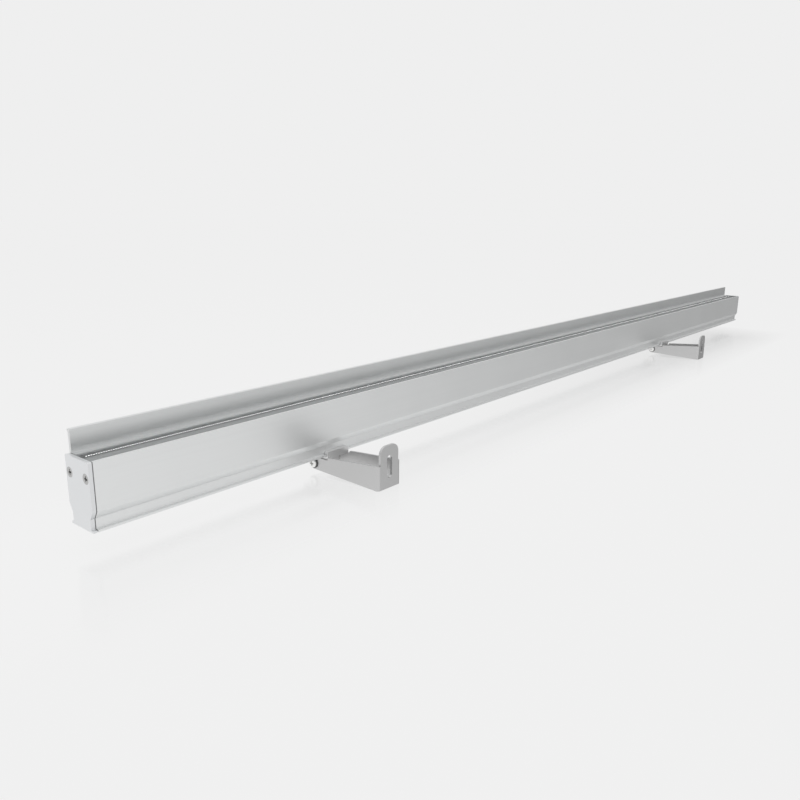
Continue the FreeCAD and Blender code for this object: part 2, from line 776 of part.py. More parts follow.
def cable_inlet():
    """Gland body, its seal and its lock nut in the web over the bottom channel."""
    flange_z = "channel_depth - gland_flange_thick"
    flange = cylinder("gland_flange", ("inlet_x", "0", flange_z), "gland_flange", "gland_flange_thick")
    shank_height = "floor + gland_nut_thick + gland_tail"
    shank = cylinder("gland_shank", ("inlet_x", "0", "channel_depth"), "gland_shank", shank_height)
    bore_height = "gland_flange_thick + " + shank_height
    bore = cylinder("gland_bore", ("inlet_x", "0", flange_z), "gland_bore", bore_height)
    bar_node(cut("gland", fuse("gland_solid", flange, shank), bore), "cable_gland")
    seal_outer, seal_height = "gland_bore - thread_play", "gland_flange_thick + floor"
    seal = ring("gland_ring", ("inlet_x", "0", flange_z), seal_outer, "gland_seal_bore", seal_height)
    bar_node(seal, "gland_seal")
    body = new_body("gland_nut")
    flats = outline(new_sketch(body, "hexagon", "XY_Plane"), hexagon("gland_nut_across"))
    pad(body, flats, "gland_nut_thick")
    hole = circle(new_sketch(body, "hole", "XY_Plane"), "0", "0", "gland_shank + thread_play")
    pocket(body, hole, "gland_nut_thick", True)
    node(body, "gland_nut", "inlet_x - near_station", "reach", "rail_z + chamber_floor")


# --- clips, arms and pivots ---


def wall_arm(side, station):
    """The U of bent sheet: wall plate with slot and tab, and two tapered side plates."""
    body = new_body(side + "_arm")
    half = "arm_width / 2"
    blank = new_sketch(body, "side_outline", "YZ_Plane", "-" + half)
    corners = [
        ("0", "-plate_half"),
        ("reach", "-pivot_drop - arm_end_radius"),
        ("reach", "side_flat"),
        ("relief_start", "side_flat"),
        ("relief_start - relief_run", "side_flat + relief_step"),
        ("bend_radius", "side_top"),
        ("0", "side_top"),
    ]
    pad(body, outline(blank, corners), "arm_width")
    round_end = new_sketch(body, "round_end", "YZ_Plane", "-" + half)
    pad(body, circle(round_end, "reach", "-pivot_drop", "arm_end_radius"), "arm_width")
    dress(body, "Fillet", "Radius", "bend_radius", is_outer_bend)
    inside = new_sketch(body, "inside", "XY_Plane", "-plate_half - overcut")
    inner = "(arm_width / 2 - sheet)"
    far_edge = "reach + arm_end_radius + overcut"
    corners = [("-" + inner, "sheet"), (inner, "sheet"), (inner, far_edge), ("-" + inner, far_edge)]
    pocket(body, outline(inside, corners), "plate_height + 2 * overcut", True)
    dress(body, "Fillet", "Radius", "bend_radius - sheet", is_inner_bend)
    tab = new_sketch(body, "tab", "XZ_Plane")
    corners = [
        ("-tab_width / 2", "side_top"),
        ("tab_width / 2", "side_top"),
        ("tab_width / 2", "plate_half"),
        ("-tab_width / 2", "plate_half"),
    ]
    pad(body, outline(tab, corners), "sheet", True)
    dress(body, "Fillet", "Radius", "tab_round", is_tab_corner)
    wall_slot(body)
    pivot_hole = new_sketch(body, "pivot_hole", "YZ_Plane", "-%s - overcut" % half)
    circle(pivot_hole, "reach", "-pivot_drop", "bolt_radius + bolt_play")
    pocket(body, pivot_hole, "arm_width + 2 * overcut", True)
    node(body, side + "_wall_arm", station)


def is_outer_bend(edge):
    """True for the upright outer edges at the wall plane."""
    return runs_along(edge, "z") and lies_at(edge, y="0")


def is_inner_bend(edge):
    """True for the upright inner corners of the U."""
    at_corner = abs(abs(edge.CenterOfMass.x) - value("arm_width / 2 - sheet")) < CLOSE
    return at_corner and runs_along(edge, "z") and lies_at(edge, y="sheet")


def is_tab_corner(edge):
    """True for the two upper edges through the tab."""
    return runs_along(edge, "y") and lies_at(edge, z="plate_half")


def wall_slot(body):
    """The upright wall slot, cut through the wall plate."""
    reach_in = "slot_length / 2 - slot_width / 2"
    straight = new_sketch(body, "slot", "XZ_Plane")
    corners = [
        ("-slot_width / 2", "-(%s)" % reach_in),
        ("slot_width / 2", "-(%s)" % reach_in),
        ("slot_width / 2", reach_in),
        ("-slot_width / 2", reach_in),
    ]
    pocket(body, outline(straight, corners), "sheet")
    for name, sign in (("slot_top", ""), ("slot_bottom", "-")):
        end = circle(new_sketch(body, name, "XZ_Plane"), "0", "%s(%s)" % (sign, reach_in), "slot_width / 2")
        pocket(body, end, "sheet")


def rail_clip(side, station):
    """A slice of extrusion with two hooks over the rail's lips and a lug for the pivot bolt."""
    body = new_body(side + "_clip")
    half = [
        ("hook_outer", "base_bottom"),
        ("hook_outer", "lip_height + hook_play + hook_thick"),
        ("waist_width / 2 + hook_play", "lip_height + hook_play + hook_thick"),
        ("waist_width / 2 + hook_play", "lip_height + hook_play"),
        ("lip_width / 2 + hook_play", "lip_height + hook_play"),
        ("lip_width / 2 + hook_play", "base_top"),
    ]
    corners = half + [("-(%s)" % across, up) for across, up in reversed(half)]
    section = new_sketch(body, "section", "YZ_Plane", "-clip_width / 2")
    pad(body, outline(section, corners), "clip_width")
    dress(body, "Fillet", "Radius", "hook_corner", is_hook_corner)
    neck = new_sketch(body, "neck", "YZ_Plane", "-lug_width / 2")
    corners = [
        ("-lug_radius", "base_bottom"),
        ("-lug_radius", "-rail_rise"),
        ("lug_radius", "-rail_rise"),
        ("lug_radius", "base_bottom"),
    ]
    pad(body, outline(neck, corners), "lug_width")
    round_end = new_sketch(body, "lug_end", "YZ_Plane", "-lug_width / 2")
    pad(body, circle(round_end, "0", "-rail_rise", "lug_radius"), "lug_width")
    bore = new_sketch(body, "bore", "YZ_Plane", "-lug_width / 2 - overcut")
    circle(bore, "0", "-rail_rise", "bolt_radius + bolt_play")
    pocket(body, bore, "lug_width + 2 * overcut", True)
    node(body, side + "_rail_clip", station, "reach", "rail_z")


def is_hook_corner(edge):
    """True for the end edges at the top of the clip's two upright walls."""
    return runs_along(edge, "y") and lies_at(edge, z="lip_height + hook_play + hook_thick")


def clip_liner(side, station):
    """The rubber liner between the clip's base and the lips."""
    start = ("-liner_width / 2", "-lip_width / 2", "base_top")
    sides = ("liner_width", "lip_width", "liner_thick")
    strip = group(side + "_liner_group", [box(side + "_liner", start, sides)])
    node(strip, side + "_clip_liner", station, "reach", "rail_z")


def pivot_bolt(side, station):
    """The pan head bolt across the arm, its head on the near side."""
    body = new_body(side + "_bolt")
    seat = "-(arm_width / 2 + washer_thick)"
    front = seat + " - bolt_head_height"
    tip = "arm_width / 2 + washer_thick + nut_hex + nut_collar + bolt_tail"
    corners = [
        (front, "0"),
        (front, "bolt_head_radius"),
        (seat, "bolt_head_radius"),
        (seat, "bolt_radius"),
        (tip, "bolt_radius"),
        (tip, "0"),
    ]
    spin(body, outline(new_sketch(body, "half", "XY_Plane"), corners))
    node(body, side + "_pivot_bolt", station, "reach", "-pivot_drop")


def pivot_washers(side, station):
    """A plain washer under the bolt's head and one under the nut."""
    washers = []
    bolt_hole = "bolt_radius + bolt_play"
    for name, start in (("head", "-arm_width / 2 - washer_thick"), ("nut", "arm_width / 2")):
        tag = "%s_%s_washer" % (side, name)
        washers.append(ring(tag, (start, "0", "0"), "washer_radius", bolt_hole, "washer_thick", ALONG_X))
    node(group(side + "_washers", washers), side + "_pivot_washers", station, "reach", "-pivot_drop")


def friction_washers(side, station):
    """A nylon washer between the lug and each side plate."""
    washers = []
    bolt_hole = "bolt_radius + bolt_play"
    inner_face = "(arm_width / 2 - sheet)"
    for name, start in (("near", "-" + inner_face), ("far", inner_face + " - slip_thick")):
        tag = "%s_%s_slip" % (side, name)
        washers.append(ring(tag, (start, "0", "0"), "slip_radius", bolt_hole, "slip_thick", ALONG_X))
    node(group(side + "_slips", washers), side + "_friction_washers", station, "reach", "-pivot_drop")


def pivot_nut(side, station):
    """The lock nut: a hexagon and the round collar over its insert."""
    body = new_body(side + "_nut")
    start = "arm_width / 2 + washer_thick"
    pad(body, outline(new_sketch(body, "hexagon", "YZ_Plane", start), hexagon("nut_across")), "nut_hex")
    collar = circle(new_sketch(body, "collar", "YZ_Plane", start), "0", "0", "nut_collar_radius")
    pad(body, collar, "nut_hex + nut_collar")
    bore = circle(new_sketch(body, "bore", "YZ_Plane", start), "0", "0", "bolt_radius + thread_play")
    pocket(body, bore, "nut_hex + nut_collar", True)
    node(body, side + "_pivot_nut", station, "reach", "-pivot_drop")


def bracket(side, station):
    wall_arm(side, station)
    rail_clip(side, station)
    clip_liner(side, station)
    pivot_bolt(side, station)
    pivot_washers(side, station)
    friction_washers(side, station)
    pivot_nut(side, station)


def check_and_export():
    """Every object must have computed, and every sub-part must be valid, before anything is written."""
    doc.recompute()
    broken = [obj.Name for obj in doc.Objects if "Invalid" in obj.State or "Error" in obj.State]
    bad = [obj.Label for obj in nodes if obj.Shape.isNull() or not obj.Shape.isValid()]
    if broken or bad:
        raise RuntimeError("failed objects %s, bad shapes %s" % (broken, bad))
    os.makedirs("parts", exist_ok=True)
    for obj in nodes:
        obj.Shape.exportStep("parts/%s.step" % obj.Label)
        print("%-24s %2d solids %10.1f mm3" % (obj.Label, len(obj.Shape.Solids), obj.Shape.Volume))
    print(len(nodes), "sub-parts")


fill_sheet()
housing()
visor()
cover()
cover_sealant()
light_engine()
ends()
driver_tray()
driver_board()
driver_parts()
supply_terminal()
led_leads()
cable_inlet()
bracket("near", "0")
bracket("far", "arm_spacing")
check_and_export()
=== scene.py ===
"""Looks of the linear wall washer light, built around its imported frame.

Metres, in the frame's own axes: X along the bar, +Y away from the wall, +Z up, with the origin in
the middle of the near arm's wall slot.
"""

import math

import bpy
import numpy as np
from mathutils import Matrix, Vector


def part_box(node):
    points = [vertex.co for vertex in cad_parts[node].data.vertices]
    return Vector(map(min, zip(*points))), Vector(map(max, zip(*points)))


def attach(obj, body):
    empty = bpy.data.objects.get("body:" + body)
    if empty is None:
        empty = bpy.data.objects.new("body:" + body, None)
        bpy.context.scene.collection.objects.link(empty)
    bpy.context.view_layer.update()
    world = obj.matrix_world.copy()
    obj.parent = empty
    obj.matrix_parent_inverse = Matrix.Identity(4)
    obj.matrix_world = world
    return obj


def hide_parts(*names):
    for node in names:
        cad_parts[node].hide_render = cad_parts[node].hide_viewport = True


bl_info = {
    "name": "Wall Washer Light",
    "version": (1, 0, 0),
    "blender": (4, 5, 0),
    "location": "View3D > Sidebar > Wall Washer",
    "description": "Finishes and fine pieces of a linear wall washer light on its two wall arms",
    "category": "Object",
}

MM = 0.001
WHITE = (1.0, 1.0, 1.0, 1.0)
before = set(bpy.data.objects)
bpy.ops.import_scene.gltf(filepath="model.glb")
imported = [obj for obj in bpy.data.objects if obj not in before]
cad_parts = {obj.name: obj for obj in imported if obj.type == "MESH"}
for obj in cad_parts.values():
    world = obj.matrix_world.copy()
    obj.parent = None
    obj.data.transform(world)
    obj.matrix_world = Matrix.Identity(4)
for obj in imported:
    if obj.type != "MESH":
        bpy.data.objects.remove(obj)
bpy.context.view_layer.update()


# --- settings ---


def length(name, description, millimetres):
    """A length property, its default given in millimetres."""
    return bpy.props.FloatProperty(
        name=name, description=description, default=millimetres * MM, unit="LENGTH", precision=5
    )


def colour(name, description, default):
    """A linear colour property."""
    return bpy.props.FloatVectorProperty(
        name=name, description=description, default=default, subtype="COLOR", min=0.0, max=1.0
    )


def share(name, description, default):
    """A plain number from 0 to 1."""
    return bpy.props.FloatProperty(
        name=name, description=description, default=default, min=0.0, max=1.0
    )


def angle(name, description, degrees):
    """An angle property, its default given in degrees."""
    return bpy.props.FloatProperty(
        name=name, description=description, default=math.radians(degrees), subtype="ANGLE"
    )


class MetalSettings(bpy.types.PropertyGroup):
    """Colours and polish of the metals"""

    profile: colour("Profile", "Anodised aluminium of the housing", (0.755, 0.765, 0.765))
    # The visor's colour is the profile's aluminium made darker: painted shade.
    visor: colour("Visor", "Anodised aluminium of the visor", (0.70, 0.71, 0.71))
    cap: colour("End cap", "Anodised aluminium of the end caps", (0.77, 0.78, 0.79))
    # The clips take this colour made lighter: painted light.
    sheet: colour("Sheet metal", "Satin aluminium of arms and clips", (0.545, 0.545, 0.545))
    steel: colour("Steel", "Bright steel of screws and nuts", (0.86, 0.86, 0.85))
    dark_steel: colour("Dark steel", "Blackened steel of the plain washers", (0.16, 0.16, 0.16))
    profile_roughness: share("Profile roughness", "Satin of the anodised profile", 0.34)
    visor_roughness: share("Visor roughness", "Satin of the visor", 0.33)
    sheet_roughness: share("Sheet roughness", "Satin of arms and clips", 0.34)
    steel_roughness: share("Steel roughness", "Polish of screws and nuts", 0.20)


class LightSettings(bpy.types.PropertyGroup):
    """Sizes and colours of the light points, their board and the sealant"""

    pitch: length("Pitch", "Distance between two light points", 1.28)
    bead_radius: length("Bead radius", "Radius of a light point's lens", 0.34)
    bead_rise: length("Bead rise", "Height of a lens above the cover", 0.08)
    bead: colour("Bead", "Milky silicone of the lenses", (0.92, 0.93, 0.93))
    # The board's dark grey is partly the solder mask's own tone and partly painted shade of the
    # channel under the cover.
    board: colour("Board", "Solder mask of the LED board", (0.27, 0.275, 0.275))
    sealant: colour("Sealant", "Grey sealant beside the cover", (0.045, 0.047, 0.048))


class ScrewSettings(bpy.types.PropertyGroup):
    """Sizes of the end screws and pivot bolts"""

    recess_reach: length("Recess reach", "Half the length of a cross recess in an end screw", 1.6)
    recess_width: length("Recess width", "Half the width of a recess's arms", 0.38)
    recess_depth: length("Recess depth", "Depth of a cross recess", 1.4)
    shank_radius: length("Shank radius", "Radius of an end screw's shank", 1.4)
    pivot_radius: length("Pivot radius", "Radius of a pivot bolt's shank", 1.5)
    pivot_head: length("Pivot head", "Height of a pivot bolt's head", 1.65)
    thread_pitch: length("Thread pitch", "Pitch of the pivot bolt's thread", 0.5)
    thread_depth: length("Thread depth", "Depth of the pivot bolt's thread", 0.3)


class StageSettings(bpy.types.PropertyGroup):
    """Background and camera"""

    background: colour("Background", "Pale studio background", (0.863, 0.863, 0.863))
    camera_x: length("Camera X", "Camera along the bar", -318.5)
    camera_y: length("Camera Y", "Camera away from the wall", -272.07)
    camera_z: length("Camera Z", "Camera height over the wall slots", 146.49)
    yaw: angle("Yaw", "Camera's heading from +X", 39.70)
    pitch: angle("Pitch", "Camera's slope below the horizon", 14.14)
    roll: angle("Roll", "Camera's turn about its own axis", 0.575)
    lens: bpy.props.FloatProperty(
        name="Lens", description="Focal length on a 36 mm sensor", default=33.29, unit="CAMERA"
    )


# --- node recipes ---


class Link:
    """A node's output socket that takes part in arithmetic; each operator adds one Math node."""

    def __init__(self, recipe, socket):
        self.recipe = recipe
        self.socket = socket

    def math(self, operation, *values, clamp=False):
        """A Math node on these values."""
        settings = {"operation": operation, "use_clamp": clamp}
        return self.recipe.add("ShaderNodeMath", settings, dict(enumerate(values)))

    def __add__(self, other):
        return self.math("ADD", self, other)

    def __sub__(self, other):
        return self.math("SUBTRACT", self, other)

    def __rsub__(self, other):
        return self.math("SUBTRACT", other, self)

    def __mul__(self, other):
        return self.math("MULTIPLY", self, other)

    def __truediv__(self, other):
        return self.math("DIVIDE", self, other)

    def __pow__(self, other):
        return self.math("POWER", self, other)

    __radd__ = __add__
    __rmul__ = __mul__

    def clamped(self):
        """The value held between 0 and 1."""
        return self.math("ADD", self, 0.0, clamp=True)

    def other(self, name):
        """Another output of the same node."""
        return Link(self.recipe, self.socket.node.outputs[name])


class Recipe:
    """The node tree of one material or of the world."""

    def __init__(self, owner):
        owner.use_nodes = True
        self.owner = owner
        self.tree = owner.node_tree
        self.tree.nodes.clear()

    def add(self, kind, settings=None, inputs=None, output=0):
        """Adds a node: its settings first, then the values or links of its sockets."""
        node = self.tree.nodes.new(kind)
        for name, value in (settings or {}).items():
            setattr(node, name, value)
        for key, value in (inputs or {}).items():
            if isinstance(value, Link):
                self.tree.links.new(value.socket, node.inputs[key])
            else:
                node.inputs[key].default_value = value
        return Link(self, node.outputs[output]) if node.outputs else node

    def place(self, scale):
        """Object coordinates stretched by the given scale."""
        coordinates = self.add("ShaderNodeTexCoord", output="Object")
        return self.add("ShaderNodeMapping", inputs={"Vector": coordinates, "Scale": scale})

    def noise(self, scale, detail=3.0):
        """Noise from 0 to 1 with the given number of waves per metre on each axis."""
        inputs = {"Vector": self.place(scale), "Scale": 1.0, "Detail": detail}
        return self.add("ShaderNodeTexNoise", inputs=inputs, output="Fac")

    def tint(self, factor, low, high):
        """The colour between two colours at a factor. A Mix node has its colours at the sockets 6
        and 7, and at output 2."""
        settings = {"data_type": "RGBA"}
        inputs = {0: factor, 6: (*low, 1.0), 7: (*high, 1.0)}
        return self.add("ShaderNodeMix", settings, inputs, output=2)

    def bump(self, height, distance, strength):
        """A normal disturbed by a height."""
        inputs = {"Height": height, "Distance": distance, "Strength": strength}
        return self.add("ShaderNodeBump", inputs=inputs)

    def surface(self, **sockets):
        """Closes a material with its Principled shader. A socket's words are joined by _."""
        inputs = {name.replace("_", " "): value for name, value in sockets.items()}
        shader = self.add("ShaderNodeBsdfPrincipled", inputs=inputs)
        self.add("ShaderNodeOutputMaterial", inputs={"Surface": shader})
        return self.owner


def new_recipe(name):
    """The empty node tree of a new material."""
    return Recipe(bpy.data.materials.new(name))


def shaded(rgb, factor):
    """A colour made darker or lighter by a factor."""
    return tuple(min(channel * factor, 1.0) for channel in rgb)


# --- metals ---

# Waves per metre along X, Y and Z.
DIE_LINES = (9.0, 4200.0, 4200.0)
BROAD_LINES = (3.0, 700.0, 700.0)
BLASTED = (3600.0, 3600.0, 3600.0)
CLOUDS = (35.0, 35.0, 35.0)

PROFILE_METALLIC = 0.85
VISOR_METALLIC = 0.95
SHEET_METALLIC = 0.93
# The clips' colour is the sheet's made lighter by this factor: painted light.
CLIP_PAINTED_LIGHT = 1.25
# The end screws' steel is the bright steel made darker by this factor: painted shade.
END_SCREW_PAINTED_SHADE = 0.56


def extruded_aluminium(name, rgb, roughness, metallic):
    """Anodised extrusion: fine and broad die lines along X, and faint clouds of the anodising,
    whose layer scatters the part of the light that metallic leaves."""
    recipe = new_recipe(name)
    fine = recipe.noise(DIE_LINES)
    broad = recipe.noise(BROAD_LINES)
    cloud = recipe.noise(CLOUDS)
    base = recipe.tint((fine + broad + cloud) / 3.0, shaded(rgb, 0.94), shaded(rgb, 1.05))
    return recipe.surface(
        Base_Color=base,
        Metallic=metallic,
        Roughness=roughness - 0.05 + fine * 0.06 + cloud * 0.05,
        Normal=recipe.bump(fine + broad * 0.5, 0.02 * MM, 0.25),
    )


def cap_aluminium(name, rgb, roughness):
    """Milled and anodised plate: a fine even grain with faint clouds."""
    recipe = new_recipe(name)
    grain = recipe.noise(BLASTED)
    cloud = recipe.noise(CLOUDS)
    return recipe.surface(
        Base_Color=recipe.tint((grain + cloud) / 2.0, shaded(rgb, 0.96), shaded(rgb, 1.04)),
        Metallic=1.0,
        Roughness=roughness + 0.04 + grain * 0.06,
        Normal=recipe.bump(grain, 0.02 * MM, 0.2),
    )


def blasted_aluminium(name, rgb, roughness):
    """Bead-blasted sheet: a fine pitted grain that scatters a little of the light, with clouds."""
    recipe = new_recipe(name)
    grain = recipe.noise(BLASTED, 5.0)
    cloud = recipe.noise(CLOUDS)
    return recipe.surface(
        Base_Color=recipe.tint((grain + cloud) / 2.0, shaded(rgb, 0.93), shaded(rgb, 1.06)),
        Metallic=SHEET_METALLIC,
        Roughness=roughness - 0.03 + grain * 0.08,
        Normal=recipe.bump(grain, 0.04 * MM, 0.3),
    )


def turned_steel(name, rgb, roughness):
    """Plated steel with a faint grain in its polish."""
    recipe = new_recipe(name)
    grain = recipe.noise(BLASTED)
    return recipe.surface(
        Base_Color=recipe.tint(grain, shaded(rgb, 0.94), shaded(rgb, 1.03)),
        Metallic=1.0,
        Roughness=roughness + grain * 0.06,
        Normal=recipe.bump(grain, 0.01 * MM, 0.15),
    )


# --- other materials ---

# Waves per metre along X, Y and Z.
RUBBER_SKIN = (900.0, 900.0, 900.0)
BOARD_LANES = (60.0, 900.0, 900.0)
COVER_WAVES = (20.0, 120.0, 120.0)
SILICONE_CLOUDS = (1400.0, 1400.0, 1400.0)

BOARD_STEEPNESS = 24.0
BOARD_SHADE = 0.96
COVER_TINT = (0.26, 0.27, 0.27, 1.0)
COVER_IOR = 1.38
COVER_BODY = 0.20
COVER_MIRROR = 0.6
# The LED line is the lenses' silicone made darker by this factor: painted shade between the light
# points.
LINE_PAINTED_SHADE = 0.38
# Emission strength of the lenses: a painted glint.
LENS_PAINTED_GLINT = 1.6


def moulded_plastic(name, rgb, roughness):
    """Moulded plastic with a fine spark-eroded grain."""
    recipe = new_recipe(name)
    grain = recipe.noise(BLASTED, 4.0)
    return recipe.surface(
        Base_Color=recipe.tint(grain, shaded(rgb, 0.88), shaded(rgb, 1.1)),
        Roughness=roughness + grain * 0.1,
        Normal=recipe.bump(grain, 0.03 * MM, 0.3),
    )


def soft_rubber(name, rgb):
    """Matt rubber or silicone with a slightly uneven skin."""
    recipe = new_recipe(name)
    skin = recipe.noise(RUBBER_SKIN, 4.0)
    return recipe.surface(
        Base_Color=recipe.tint(skin, shaded(rgb, 0.8), shaded(rgb, 1.2)),
        Roughness=0.55 + skin * 0.2,
        Normal=recipe.bump(skin, 0.06 * MM, 0.35),
    )


def circuit_board(name, rgb, tracks):
    """Solder mask with raised copper tracks of their own shade along the board."""
    recipe = new_recipe(name)
    lanes = recipe.noise(BOARD_LANES, 0.0)
    track = ((lanes - 0.5) * BOARD_STEEPNESS).clamped()
    return recipe.surface(
        Base_Color=recipe.tint(track, rgb, tracks),
        Roughness=0.42 - track * 0.08,
        Normal=recipe.bump(track, 0.04 * MM, 0.4),
    )


def clear_cover(name):
    """Clear cover: a thin sheet with a faintly uneven surface, which lets light through unbent and
    mirrors the more the flatter it is seen."""
    recipe = new_recipe(name)
    wave = recipe.noise(COVER_WAVES, 1.0)
    mirrored = recipe.add("ShaderNodeFresnel", inputs={"IOR": COVER_IOR})
    return recipe.surface(
        Base_Color=COVER_TINT,
        Roughness=0.05 + wave * 0.03,
        IOR=COVER_IOR,
        Alpha=COVER_BODY + mirrored * COVER_MIRROR,
        Normal=recipe.bump(wave, 0.02 * MM, 0.1),
    )


def milky_silicone(name, rgb, painted_glint):
    """Milky silicone, whose emission is a painted glint that makes each lens shine as a bright
    point.
    """
    recipe = new_recipe(name)
    cloud = recipe.noise(SILICONE_CLOUDS, 2.0)
    return recipe.surface(
        Base_Color=recipe.tint(cloud, shaded(rgb, 0.95), rgb),
        Roughness=0.22 + cloud * 0.08,
        Coat_Weight=0.4,
        Emission_Color=WHITE,
        Emission_Strength=painted_glint,
    )


# --- meshes ---

SHARP_ANGLE = math.radians(40.0)


def outward(points, faces):
    """Turns the faces of a closed mesh round where they point inwards: its signed volume is the sum
    of the tetrahedra from its middle to each face's fan of triangles."""
    centred = points - points.mean(axis=0)
    volume = 0.0
    for last in range(2, faces.shape[1]):
        first, second, third = (centred[faces[:, index]] for index in (0, last - 1, last))
        volume += np.einsum("ij,ij->i", first, np.cross(second, third)).sum()
    return faces if volume > 0 else faces[:, ::-1]


def mesh_piece(name, points, faces, material):
    """A piece at the origin from arrays of points and of quads, smooth but for its sharp edges."""
    mesh = bpy.data.meshes.new(name)
    mesh.from_pydata(points.tolist(), [], [tuple(dict.fromkeys(face)) for face in faces.tolist()])
    mesh.validate()
    mesh.polygons.foreach_set("use_smooth", [True] * len(mesh.polygons))
    mesh.set_sharp_from_angle(angle=SHARP_ANGLE)
    mesh.materials.append(material)
    piece = bpy.data.objects.new(name, mesh)
    bpy.context.scene.collection.objects.link(piece)
    return piece


def polar_grid(radii, sides):
    """The two distances from the axes of point (i, j) at radius i and angle 2 pi j / sides."""
    angles = np.linspace(0.0, 2.0 * math.pi, sides, endpoint=False)
    return radii[:, None] * np.cos(angles)[None, :], radii[:, None] * np.sin(angles)[None, :]


def carried_round(heights, radii, sides):
    """A half profile carried round the X axis. Point (i, j) lies at x = height i, j and at radius i
    in the direction of angle 2 pi j / sides. The first and last rings shrink to one point each."""
    across, up = polar_grid(radii, sides)
    grid = np.stack([np.broadcast_to(heights, across.shape), across, up], axis=-1)
    rings = len(radii)
    index = np.arange(rings * sides).reshape(rings, sides)
    index[0, :] = index[0, 0]
    index[-1, :] = index[-1, 0]
    after = np.roll(index, -1, axis=1)
    faces = np.stack([index[:-1], index[1:], after[1:], after[:-1]], axis=-1).reshape(-1, 4)
    return grid.reshape(-1, 3), faces


def eased(way):
    """The smooth step 3 s^2 - 2 s^3, where s is the way held between 0 and 1."""
    held = np.clip(way, 0.0, 1.0)
    return held * held * (3.0 - 2.0 * held)


def cross_recess(radii, sides, settings):
    """Depth of a cross recess on a face's polar grid: the whole depth times two smooth steps. One
    falls with the distance to the nearer axis, over half a half width about the half width. The
    other falls with the distance along that axis, over the last half width before the reach."""
    across, up = np.abs(polar_grid(radii, sides))
    half_width = settings.recess_width
    side = eased((half_width - np.minimum(across, up)) / (0.5 * half_width) + 0.5)
    end = eased((settings.recess_reach - np.maximum(across, up)) / half_width)
    return settings.recess_depth * side * end


def joined(parts):
    """One array of points and one of faces from several."""
    starts = np.cumsum([0] + [len(points) for points, _ in parts[:-1]])
    points = np.concatenate([points for points, _ in parts])
    faces = np.concatenate([faces + start for (_, faces), start in zip(parts, starts)])
    return points, faces


def without_spares(points, faces):
    """Drops points that no face uses."""
    used, inverse = np.unique(faces, return_inverse=True)
    return points[used], inverse.reshape(faces.shape)


# --- pieces ---

LENS_SIDES = 8
LENS_STEPS = np.array([0.0, 0.55, 0.86, 1.0])
SCREW_SIDES = 144
FACE_RINGS = 36
END_SCREW_LENGTH = 10.0 * MM
END_SCREW_TURNS = (8.0, 84.0, 20.0, 65.0)

# A pivot bolt's head: its dome as a share of the radius, then the heights of the rim's curve and
# of the dome as shares of the head's.
HEAD_FLAT = 0.62
HEAD_RISE = 0.45
HEAD_DOME = 0.10
HEAD_FLAT_RINGS = 26
HEAD_RIM_RINGS = 12
THREAD_LENGTH = 7.0 * MM
THREAD_RINGS = 90


def light_beads(settings):
    """One lens over each light point: a shallow cap, which at share s of its rise has the radius
    times the square root of 1 - s squared. Lens k stands at k + 1/2 of the line's equal parts."""
    low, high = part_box("led_line")
    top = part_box("cover")[1].z
    count = int((high.x - low.x) / settings.pitch)
    middle_y = (low.y + high.y) / 2.0
    heights = np.concatenate([[0.0], LENS_STEPS * settings.bead_rise])
    shares = np.sqrt(np.clip(1.0 - LENS_STEPS**2, 0.0, 1.0))
    radii = np.concatenate([[0.0], shares * settings.bead_radius])
    points, faces = carried_round(heights[:, None], radii, LENS_SIDES)
    points = points[:, [1, 2, 0]]
    points, faces = without_spares(points, outward(points, faces))
    middle_x = low.x + (np.arange(count) + 0.5) * (high.x - low.x) / count
    places = np.stack([middle_x, np.full(count, middle_y), np.full(count, top)], axis=-1)
    all_points = (places[:, None, :] + points[None, :, :]).reshape(-1, 3)
    all_faces = (np.arange(count)[:, None, None] * len(points) + faces[None]).reshape(-1, 4)
    return all_points, all_faces


def recessed(heights, radii, face_rings, settings):
    """A screw carried round X, with the cross recess sunk into its first rings."""
    sunk = np.zeros((len(radii), SCREW_SIDES))
    sunk[:face_rings] = cross_recess(radii[:face_rings], SCREW_SIDES, settings)
    return carried_round(heights[:, None] + sunk, radii, SCREW_SIDES)


def end_screw(head_radius, settings):
    """A countersunk screw along +X from its face at x = 0: a flat face with a cross recess, a cone
    as deep as the head is wider than the shank, then the shank."""
    face = np.linspace(0.0, 1.0, FACE_RINGS) * head_radius
    shank = settings.shank_radius
    radii = np.concatenate([face, [shank, shank, 0.0]])
    tail = [head_radius - shank, END_SCREW_LENGTH, END_SCREW_LENGTH]
    heights = np.concatenate([np.zeros(len(face)), tail])
    points, faces = recessed(heights, radii, len(face), settings)
    return without_spares(points, outward(points, faces))


def end_screws(settings):
    """The four end screws, where the frame has theirs, each turned by its own angle in degrees. At
    the far end X and Y are both reversed, which is half a turn about Z."""
    low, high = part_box("end_screws")
    radius = (high.z - low.z) / 2.0
    points, faces = end_screw(radius, settings)
    turns = iter(END_SCREW_TURNS)
    parts = []
    for x, inward in ((low.x, 1.0), (high.x, -1.0)):
        for y in (low.y + radius, high.y - radius):
            turn = Matrix.Rotation(math.radians(next(turns)), 3, "X")
            placed = points @ np.array(turn).T * np.array([inward, inward, 1.0])
            parts.append((placed + np.array([x, y, low.z + radius]), faces))
    return joined(parts)


